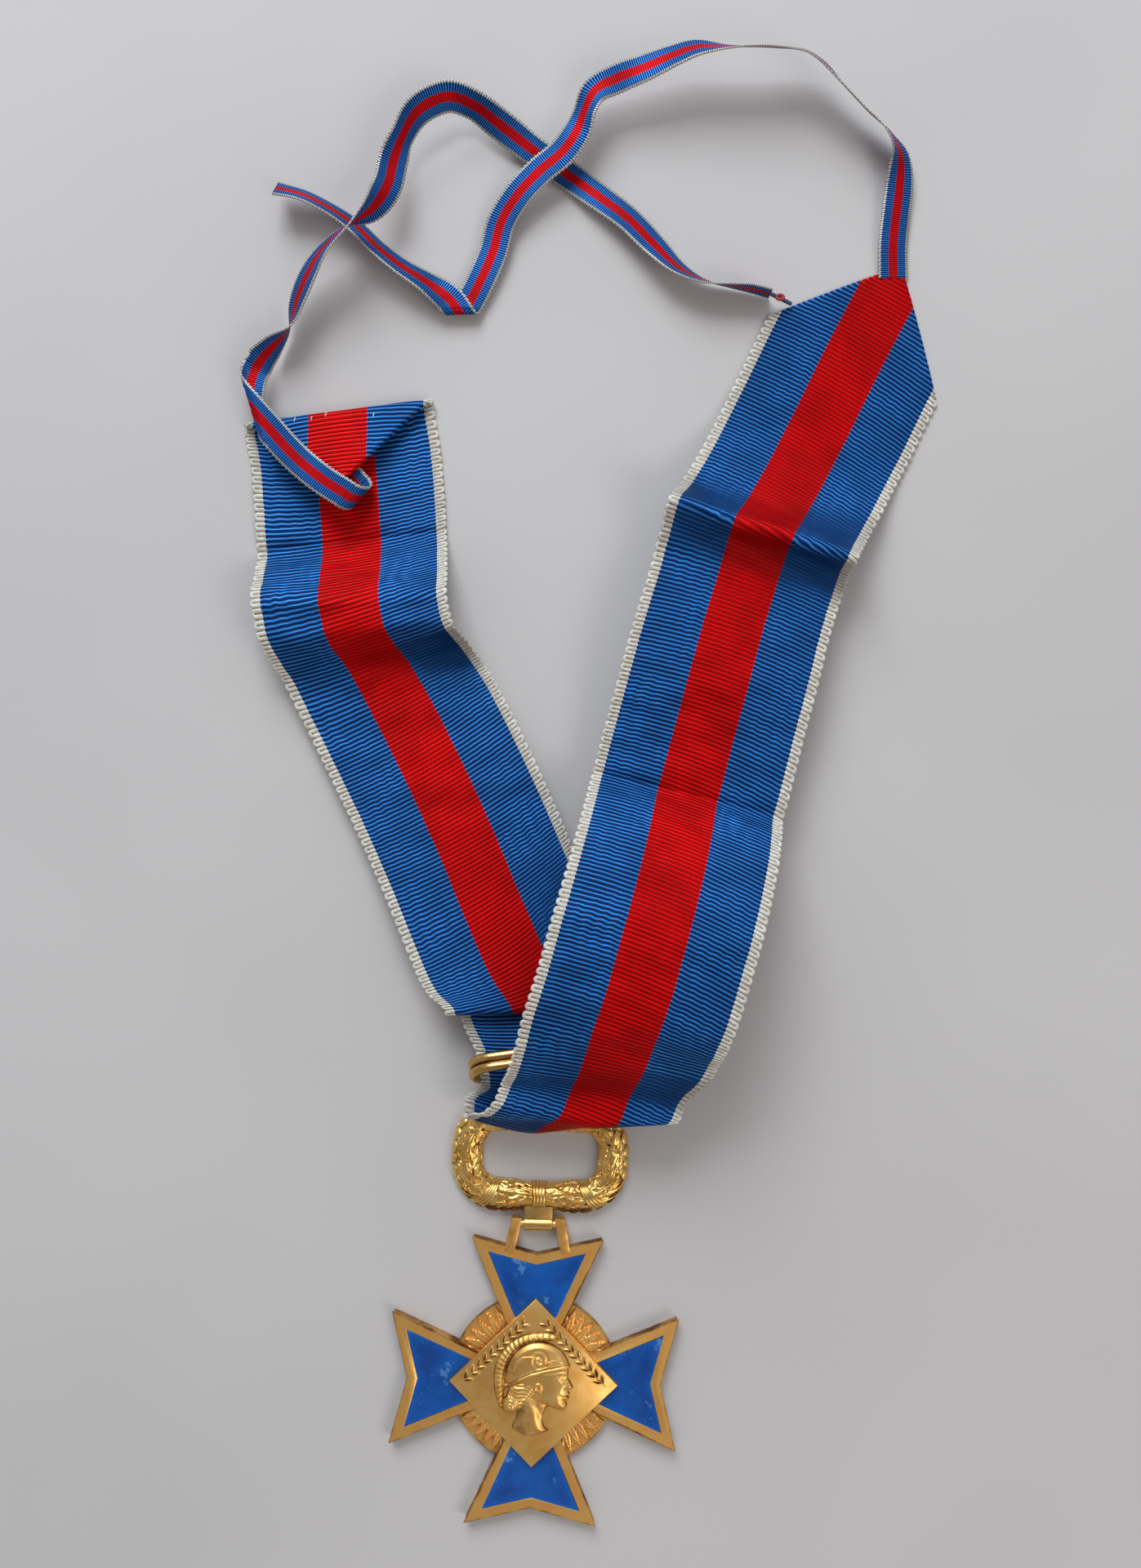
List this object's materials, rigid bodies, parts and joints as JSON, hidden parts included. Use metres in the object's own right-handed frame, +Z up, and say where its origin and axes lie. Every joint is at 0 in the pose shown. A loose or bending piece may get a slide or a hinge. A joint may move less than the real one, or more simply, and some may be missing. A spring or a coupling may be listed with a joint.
{
  "type": "order neck badge",
  "caption": "Enamelled four-armed cross hinged to a gilt leaf wreath, hung by a long grooved ring from a folded striped neck ribbon with narrow tie ribbons, laid flat.",
  "frame": {"origin": "centre of the cross on its flat back, which lies on the floor", "axes": "+Y up the page from the cross to the wreath and ribbon, +X to the right of the badge, +Z up from the floor through the badge's face"},
  "size_m": [0.1462, 0.3063, 0.0266],
  "materials": {
    "neck_cloth": "ribbed silk weave, blue, red and white stripes",
    "tie_cloth": "narrow woven ribbon, blue, red and white stripes",
    "gilt_ring": "bright gilt",
    "gilt_wreath": "bright gilt cast leaves with dark recesses",
    "gilt_cross": "satin gilt, slightly worn",
    "gilt_plaque": "fine matt gilt with a polished relief",
    "enamel": "glossy translucent blue enamel"
  },
  "bodies": {
    "ribbon_and_wreath": {"neck_ribbon": "neck_cloth", "tie_left": "tie_cloth", "tie_right": "tie_cloth", "suspension_ring": "gilt_ring", "wreath": "gilt_wreath"},
    "cross": {"cross": "gilt_cross", "centre_plaque": "gilt_plaque", "enamel_top": "enamel", "enamel_right": "enamel", "enamel_bottom": "enamel", "enamel_left": "enamel"}
  },
  "joints": [
    {"name": "cross_hinge", "type": "hinge", "parent": "ribbon_and_wreath", "child": "cross", "pos_m": [0, 0.0325, 0.0015], "axis": [1, 0, 0], "range_deg": [-90, 90]}
  ]
}
